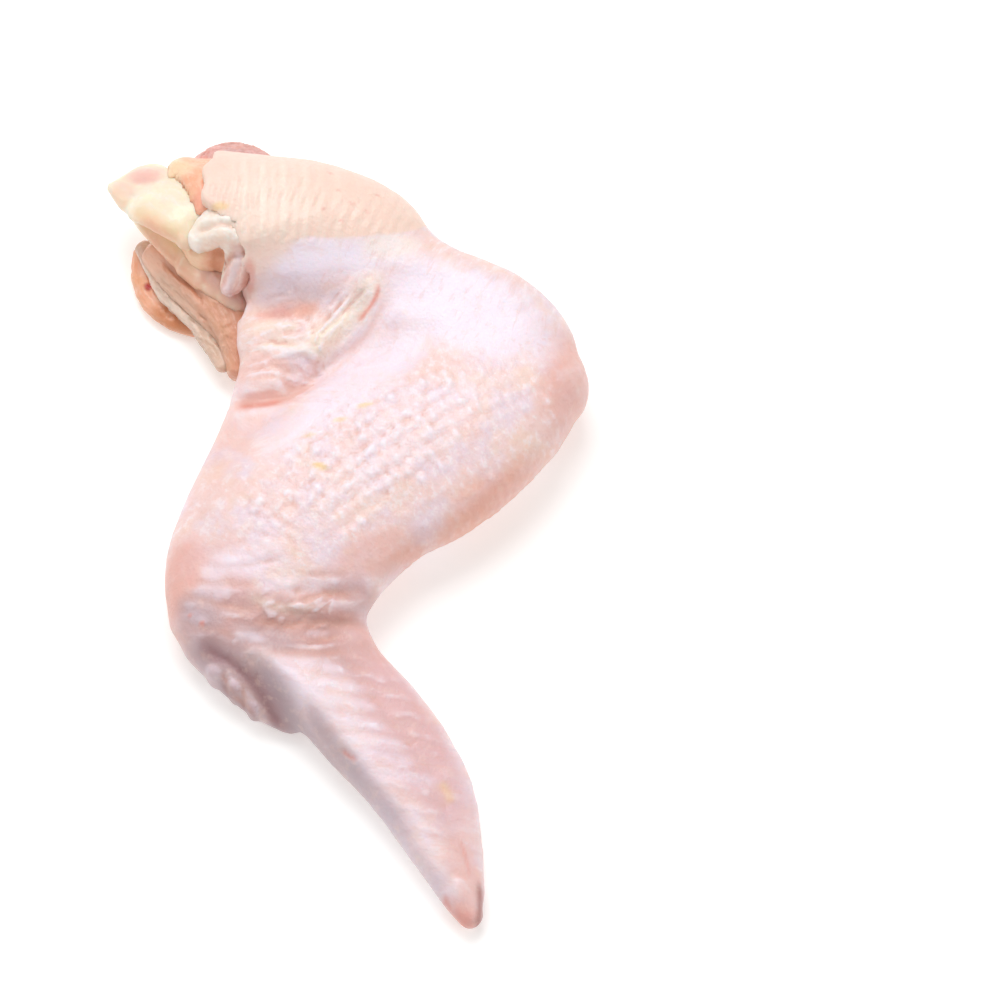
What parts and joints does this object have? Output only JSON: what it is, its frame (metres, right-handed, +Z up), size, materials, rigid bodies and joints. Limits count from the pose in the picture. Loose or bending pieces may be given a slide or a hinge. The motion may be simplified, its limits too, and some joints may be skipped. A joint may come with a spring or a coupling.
{
  "type": "raw chicken wing",
  "caption": "Raw, skin-on whole chicken wing lying folded in a Z on its underside, with meat, fat and membrane showing at the cut shoulder.",
  "frame": {"origin": "centre of the bounding box, at the surface the wing lies on", "axes": "+Z up; +Y from the wing tip towards the shoulder; +X towards the elbow"},
  "size_m": [0.0966, 0.1642, 0.0272],
  "materials": {
    "skin": "moist raw chicken skin, pale pink, with feather follicles",
    "meat": "wet raw chicken meat, pale orange-pink",
    "fat": "wet cream-yellow fat",
    "gristle": "wet whitish gristle and skin edge",
    "membrane": "wet grey-white membrane",
    "chest": "wet tan-pink meat",
    "flap": "wet orange-brown meat"
  },
  "bodies": {
    "root": {"wing_skin": "skin", "arm_meat": "meat", "shoulder_slip": "meat", "fat_flap": "fat", "gristle": "gristle", "membrane": "membrane", "chest_meat": "chest", "chest_flap": "flap"}
  },
  "joints": []
}
